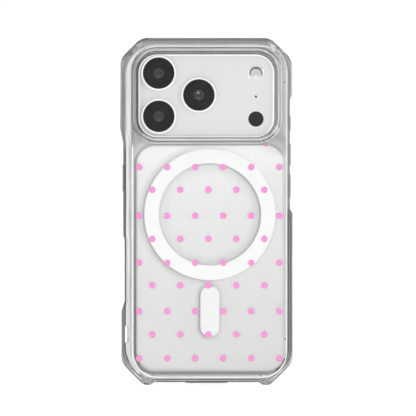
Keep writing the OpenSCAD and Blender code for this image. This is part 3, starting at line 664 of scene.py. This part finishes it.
def rounded_path(shape, inset, step=9):
    """Points of a rounded rectangle, drawn in by inset, anticlockwise from behind."""
    (x0, z0), (x1, z1), r = shape
    corners = ((x1 - r, z0 + r, -90), (x1 - r, z1 - r, 0), (x0 + r, z1 - r, 90), (x0 + r, z0 + r, 180))
    return [
        (cx + (r - inset) * math.cos(math.radians(start + a)),
         cz + (r - inset) * math.sin(math.radians(start + a)))
        for cx, cz, start in corners for a in range(0, 91, step)
    ]


def swept_edge(name, shape, profile, material, body):
    """A bead along a rounded rectangle, from [inset, y] points."""
    paths = [[(px * MM, y * MM, pz * MM) for px, pz in rounded_path(shape, inset)] for inset, y in profile]
    n = len(paths[0])
    faces = [
        (k * n + i, k * n + (i + 1) % n,
         (k + 1) % len(paths) * n + (i + 1) % n, (k + 1) % len(paths) * n + i)
        for k in range(len(paths)) for i in range(n)
    ]
    return piece(name, [v for path in paths for v in path], faces, material, body)


# ---------- cameras, flash and sensors ----------


def lens_glass():
    """Dark coated glass with a faint cloudy tint."""
    g = new("lens_glass")
    tint = g.ramp(g.noise(30, 2), (0.3, (0.82, 0.82, 0.83)), (0.7, (0.85, 0.85, 0.86)))
    shader = g.principled(Base_Color=tint, IOR=1.2, Transmission_Weight=1.0)
    g.put(shader.inputs["Roughness"], g.ramp(g.noise(200, 2), (0.3, 0.02), (0.8, 0.05)))
    return g.finish(shader, 0.6)


def iris_glass(lens, dot_highlight_strength):
    """The inner glass of one camera: grey rings, with a painted soft highlight low down and one tiny painted
    highlight dot.
    """
    g = new("iris_glass_" + lens)
    x, _, z = g.place()
    (cx, cz), _ = centre_of("lens_glass_" + lens)
    away = g.reach(x, z, (cx, cz))
    rings = g.ramp(away, (0.0, 0.28), (0.45, 0.24), (0.65, 0.36), (1.3, 0.32), (1.6, 0.27),
                   (1.9, 0.4), (2.3, 0.36), (2.45, 0.18))
    mottle = g.ramp(g.noise(2200, 3), (0.3, 0.88), (0.7, 1.08))
    # Painted highlights: a soft one below the middle and a tiny bright one above it
    low_highlight = g.smooth(g.reach(x, z, (cx - 0.1, cz - 1.5)), 1.0, 0.2, 0.0, 0.1)
    dot_highlight = g.smooth(g.reach(x, z, (cx - 0.3, cz + 1.0)), 0.6, 0.35, 0.0, dot_highlight_strength)
    light = g.math("ADD", low_highlight, dot_highlight)
    colour = g.blend(1.0, g.times(rings, mottle), g.vector(light, light, light), "ADD")
    shader = g.principled(Base_Color=colour)
    g.put(shader.inputs["Roughness"], g.ramp(g.noise(600, 2), (0.3, 0.12), (0.7, 0.2)))
    return g.finish(shader)


def flash_glass():
    """Ribbed flash lens, with painted light and shade: its cup is dark round the top and light below, with a
    painted bright highlight below the middle.
    """
    g = new("flash_glass")
    x, _, z = g.place()
    at, r = centre_of("flash_lens")
    up = g.math("DIVIDE", g.math("SUBTRACT", z, at[1]), r)
    away = g.reach(x, z, at)
    # Painted shade round the top of the cup and painted light below it
    cup = g.ramp(up, (-1.0, 0.94), (-0.5, 0.9), (0.0, 0.82), (0.4, 0.84), (0.6, 0.76), (0.9, 0.6))
    rim = g.ramp(away, (r * 0.6, 1.0), (r * 0.78, 0.66), (r * 0.9, 0.56), (r, 0.7))
    cup = g.blend(g.smooth(up, -0.6, 0.1), cup, g.times(cup, rim))
    middle = g.smooth(g.reach(x, z, (at[0], at[1] - 0.4)), 1.7, 0.9)
    facets = g.ramp(g.noise(1400, 3), (0.3, 0.6), (0.7, 0.95))
    cup = g.blend(g.math("MULTIPLY", middle, 0.75), cup, facets)
    bright_highlight = g.smooth(g.reach(x, z, (at[0] - 0.1, at[1] - 1.3)), 0.6, 0.35)
    cup = g.blend(bright_highlight, cup, (1, 1, 1))
    ribs = g.math("SINE", g.math("MULTIPLY", away, 14))
    shader = g.principled(Base_Color=g.times(cup, g.smooth(ribs, -1, 1, 0.88, 1.0)))
    g.put(shader.inputs["Roughness"], g.ramp(g.noise(500, 2), (0.3, 0.12), (0.7, 0.25)))
    g.put(shader.inputs["Normal"], g.bump(ribs, 0.00004, 0.6))
    shader.inputs["Coat Weight"].default_value = 0.5
    return g.finish(shader)


def build_cameras():
    # The lens rings are painted white gloss, not metal: the white stands for the bright reflection of the
    # metal rings
    ring = plain("lens_ring_metal", 0.995, 0.3, 0.0, grain=2500)
    glass = lens_glass()
    black = plain("lens_black", 0.09, 0.5, grain=1500)
    # The number beside each lens is how bright its painted highlight dot is
    for lens, dot_highlight_strength in (("top", 0.04), ("low", 0.04), ("side", 0.6)):
        bevelled_ring("lens_ring_" + lens, ring, 0.8)
        ease("lens_glass_" + lens)
        paint(glass, "lens_glass_" + lens)
        paint(black, "lens_barrel_" + lens)
        lens_element(lens, iris_glass(lens, dot_highlight_strength), 0.9, 2.45, 0.6)
    metal = polished_metal()
    face_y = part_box("phone_body")[0].y / MM
    rim = [(0.9, face_y + 0.03), (0.82, face_y - 0.02), (0.72, face_y - 0.05), (0.14, face_y - 0.05),
           (0.02, face_y - 0.02), (-0.07, face_y + 0.07), (-0.1, face_y + 0.45), (0.1, face_y + 0.5)]
    swept_edge("plateau_edge", PLATEAU, rim, metal, "phone")
    at, r = centre_of("flash_lens")
    rim = [(r - 0.02, face_y + 0.1), (r, face_y - 0.04), (r + 0.2, face_y - 0.09),
           (r + 0.42, face_y - 0.04), (r + 0.47, face_y + 0.1)]
    turned("flash_ring", at, rim, metal, "phone", closed=True)
    paint(flash_glass(), "flash_lens")
    paint(plain("flash_emitter", (0.93, 0.86, 0.5), 0.5), "flash_led")
    paint(plain("sensor_black", 0.04, 0.15, grain=2500), "depth_window")
    paint(plain("mic_black", 0.04, 0.7), "rear_mic_mesh")


# ---------- the rest of the phone ----------


def fine_mesh(name, look):
    """A metal mesh with rows of tiny holes."""
    g = new(name)
    rows = [g.math("SINE", g.math("MULTIPLY", v, 18)) for v in g.place()]
    holes = g.math("MULTIPLY", rows[0], g.math("ADD", rows[1], rows[2]))
    shader = g.principled(Base_Color=g.ramp(holes, (-0.2, look), (0.3, look * 0.3)))
    shader.inputs["Metallic"].default_value = 0.7
    g.put(shader.inputs["Roughness"], g.ramp(g.noise(1200, 2), (0.3, 0.4), (0.7, 0.55)))
    g.put(shader.inputs["Normal"], g.bump(holes, 0.00005, 0.5))
    return g.finish(shader)


def screen_glass():
    """Clear glass with faint smudges."""
    g = new("screen_glass")
    smudge = g.noise(25, 4)
    tint = g.ramp(smudge, (0.3, (0.95, 0.96, 0.97)), (0.7, (0.97, 0.98, 0.99)))
    shader = g.principled(Base_Color=tint, IOR=1.4, Transmission_Weight=1.0)
    g.put(shader.inputs["Roughness"], g.ramp(smudge, (0.4, 0.02), (0.8, 0.07)))
    return g.finish(shader, 0.9)


def display():
    """The screen, off: deep black in its border, a trace lighter and bluer where it lights up."""
    g = new("display")
    x, _, z = g.place()
    low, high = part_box("display_panel")
    lit = (low.x / MM, low.z / MM), (high.x / MM, high.z / MM), 11.5
    border = g.smooth(g.outside(x, z, lit), -1.3, -1.2)
    pixels = g.ramp(g.noise(6000, 1), (0.3, (0.09, 0.09, 0.1)), (0.7, (0.11, 0.11, 0.125)))
    shader = g.principled(Base_Color=g.blend(border, pixels, (0.001, 0.001, 0.001)))
    g.put(shader.inputs["Roughness"], g.ramp(g.noise(90, 2), (0.3, 0.25), (0.7, 0.35)))
    return g.finish(shader)


def face_camera():
    """The sensor pill: black, with the rings of one small lens and a dimmer projector."""
    g = new("face_camera")
    x, _, z = g.place()
    (cx, cz), half = centre_of("front_camera")
    lens = g.reach(x, z, (cx - half * 0.62, cz))
    rings = g.ramp(lens, (0.0, (0.1, 0.14, 0.3)), (0.5, (0.2, 0.22, 0.4)), (0.9, (0.05, 0.06, 0.12)),
                   (1.6, (0.14, 0.14, 0.16)), (1.9, (0.03, 0.03, 0.035)))
    projector = g.smooth(g.reach(x, z, (cx + half * 0.62, cz)), 1.1, 0.9, 0.0, 0.02)
    grey = g.vector(projector, projector, projector)
    shader = g.principled(Base_Color=g.blend(1.0, rings, grey, "ADD"))
    g.put(shader.inputs["Roughness"], g.ramp(g.noise(700, 2), (0.3, 0.1), (0.7, 0.2)))
    return g.finish(shader)


def port_contacts():
    """Black tongue with a row of gold contacts."""
    g = new("port_contacts")
    x = g.place()[0]
    stripes = g.smooth(g.math("SINE", g.math("MULTIPLY", x, 2 * math.pi / 0.5)), 0.1, 0.3)
    colour = g.blend(stripes, (0.01, 0.01, 0.012), (0.7, 0.48, 0.16))
    shader = g.principled(Base_Color=colour, Metallic=stripes)
    g.put(shader.inputs["Roughness"], g.ramp(g.noise(900, 2), (0.3, 0.35), (0.7, 0.5)))
    return g.finish(shader)


def build_phone():
    body = silver_body()
    buttons = [k + "_button" for k in ("power", "shortcut", "volume_up", "volume_down")]
    paint(body, "phone_body", *buttons)
    paint(plain("shutter_crystal", (0.84, 0.84, 0.83), 0.12, 0.1, coat=0.6), "shutter_button")
    paint(plain("back_glass", (0.87, 0.87, 0.86), 0.35, grain=4000, bump=0.00001), "back_glass")
    paint(screen_glass(), "front_glass")
    paint(display(), "display_panel")
    paint(face_camera(), "front_camera")
    paint(fine_mesh("dark_mesh", 0.3), "earpiece_mesh", "speaker_mesh")
    paint(plain("antenna_plastic", (0.84, 0.84, 0.82), 0.45, grain=2500), "antenna_bands")
    paint(plain("port_metal", 0.72, 0.3, 0.9, grain=1500), "usb_shell")
    paint(port_contacts(), "usb_tongue")
    paint(plain("screw_metal", 0.75, 0.25, 1.0, grain=3000), "bottom_screws")
    paint(plain("switch_metal", (0.8, 0.68, 0.4), 0.35, 0.9), "button_switches")
    paint(plain("module_black", 0.16, 0.6, bump=0.00005), "speaker_box")
    paint(plain("motor_steel", 0.6, 0.35, 0.9), "haptic_motor")
    paint(plain("battery_foil", 0.2, 0.5, 0.2, grain=300, bump=0.00008), "battery")
    paint(plain("shield_cans", 0.66, 0.35, 0.8, grain=700), "logic_board")
    paint(plain("coil_copper", (0.75, 0.45, 0.28), 0.35, 0.9, grain=2500), "charging_coil")
    paint(plain("magnet_steel", 0.5, 0.4, 0.9), "phone_magnets", "case_magnets", "alignment_magnet")


# ---------- case ----------


def polished_edge():
    """The plate's polished rim, with painted shade: bright, darker in painted streaks in its top corners, a
    trace darker at the far right and darker beside the guard.
    """
    g = new("polished_edge")
    x, _, z = g.place()
    wide = g.math("ABSOLUTE", x)
    corner = g.math("MULTIPLY", g.smooth(wide, 24, 29), g.smooth(z, 140, 146))
    # Painted streaky shade in the top corners, and painted shade where the guard stands beside the rim
    corner_streak_shade = g.ramp(slanted(g, x, z, 1.2, 0.25), (0.3, 0.7), (0.5, 0.86), (0.65, 1.0))
    light = g.blend(corner, g.ramp(wide, (34, 1.0), (36, 0.97)), corner_streak_shade)
    guard_shade = g.math("MULTIPLY", g.smooth(x, -29, -32), g.smooth(z, 106, 110))
    light = g.blend(guard_shade, light, (tone(0.62),) * 3)
    shader = g.principled(Base_Color=g.times(light, g.ramp(g.noise(90, 2), (0.3, 0.95), (0.7, 1.0))))
    g.put(shader.inputs["Roughness"], g.ramp(g.noise(400, 2), (0.3, 0.1), (0.7, 0.2)))
    return g.finish(shader)


def build_case():
    for name in ("magnet_ring_cover", "alignment_bar", "frosted_panel", "case_back_plate", "camera_guard"):
        ease(name)
    covers = [k + "_cover" for k in ("power", "shortcut", "volume_up", "volume_down")]
    paint(clear_bumper(), "case_bumper", *covers)
    paint(clear_plate(), "case_back_plate")
    paint(clear_guard(), "camera_guard")
    paint(frosted_film(), "frosted_panel")
    paint(white_print("ring_print", 0.99), "magnet_ring_cover")
    paint(white_print("bar_print", 0.965), "alignment_bar")
    paint(pink_print(), "printed_dots")
    NODES["printed_dots"].visible_shadow = False
    out_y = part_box("case_back_plate")[0].y / MM
    bead = [(0.0, out_y + 0.1), (0.02, out_y - 0.03), (0.15, out_y - 0.1), (0.6, out_y - 0.1),
            (0.73, out_y - 0.03), (0.75, out_y + 0.1)]
    (x0, z0), (x1, z1), r = PLATE
    polished = (x0 + 0.2, z0), (x1 + 0.2, z1 - 0.18), r
    swept_edge("plate_edge", polished, bead, polished_edge(), "case")


make_camera()
make_world()
make_lights()
make_floor()
bpy.context.scene.view_settings.view_transform = "Standard"
build_case()
build_phone()
build_cameras()
